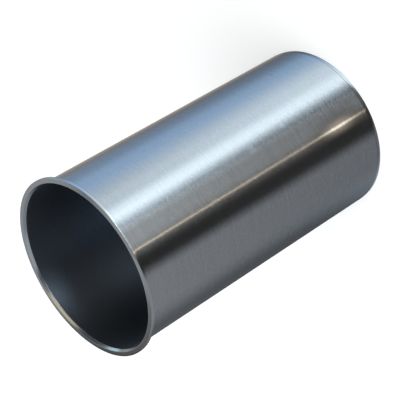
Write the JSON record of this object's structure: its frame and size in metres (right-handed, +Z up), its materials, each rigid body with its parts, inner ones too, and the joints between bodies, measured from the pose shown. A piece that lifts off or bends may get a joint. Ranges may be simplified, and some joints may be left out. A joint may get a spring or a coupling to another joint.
{
  "type": "cylinder liner",
  "caption": "Thin-wall dry cylinder liner: a long plain steel tube with a small collar at its top, bevelled bore mouth and tapered skirt lead-in.",
  "frame": {"origin": "centre of the skirt's end face, on the bore's axis", "axes": "+Z up the bore's axis, from the skirt towards the collar; turned about Z the liner is the same in every direction"},
  "size_m": [0.1102, 0.1102, 0.1926],
  "materials": {
    "ground_steel": "ground round the outside, turned on the collar's face, honed in the bore"
  },
  "bodies": {
    "root": {"cylinder_liner": "ground_steel"}
  },
  "joints": []
}
